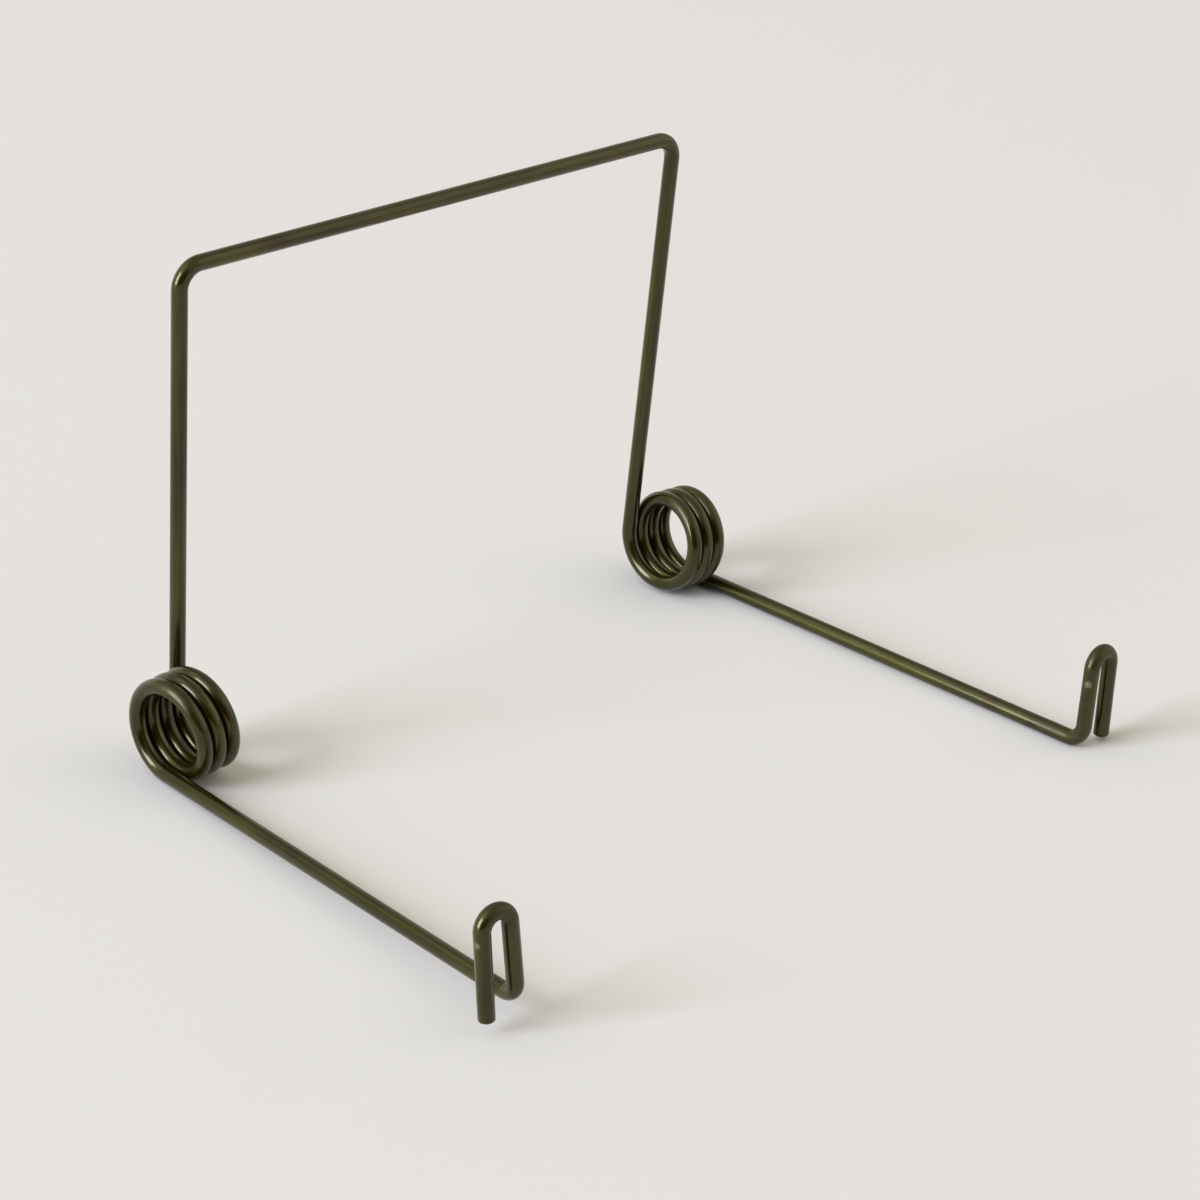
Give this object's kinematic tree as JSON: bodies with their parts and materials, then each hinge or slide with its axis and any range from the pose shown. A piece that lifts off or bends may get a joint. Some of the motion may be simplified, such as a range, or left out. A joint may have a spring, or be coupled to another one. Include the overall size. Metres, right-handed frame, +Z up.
{
  "type": "pedal return spring",
  "caption": "Pedal return spring bent from round wire: close-wound torsion coils for the pivot rod, a raised crossbar that bears on the pedal, and forward arms that end in turned-over hooks.",
  "frame": {"origin": "on the pivot line through the coils, midway between them", "axes": "+X along the pivot line to the right, +Z up along the legs to the crossbar, -Y forward along the arms to the hooks"},
  "size_m": [0.1514, 0.1026, 0.0903],
  "materials": {
    "spring_steel": "oil-tempered spring wire, dark olive brown oxide with a satin sheen along the draw"
  },
  "bodies": {
    "root": {"spring_wire": "spring_steel"}
  },
  "joints": []
}
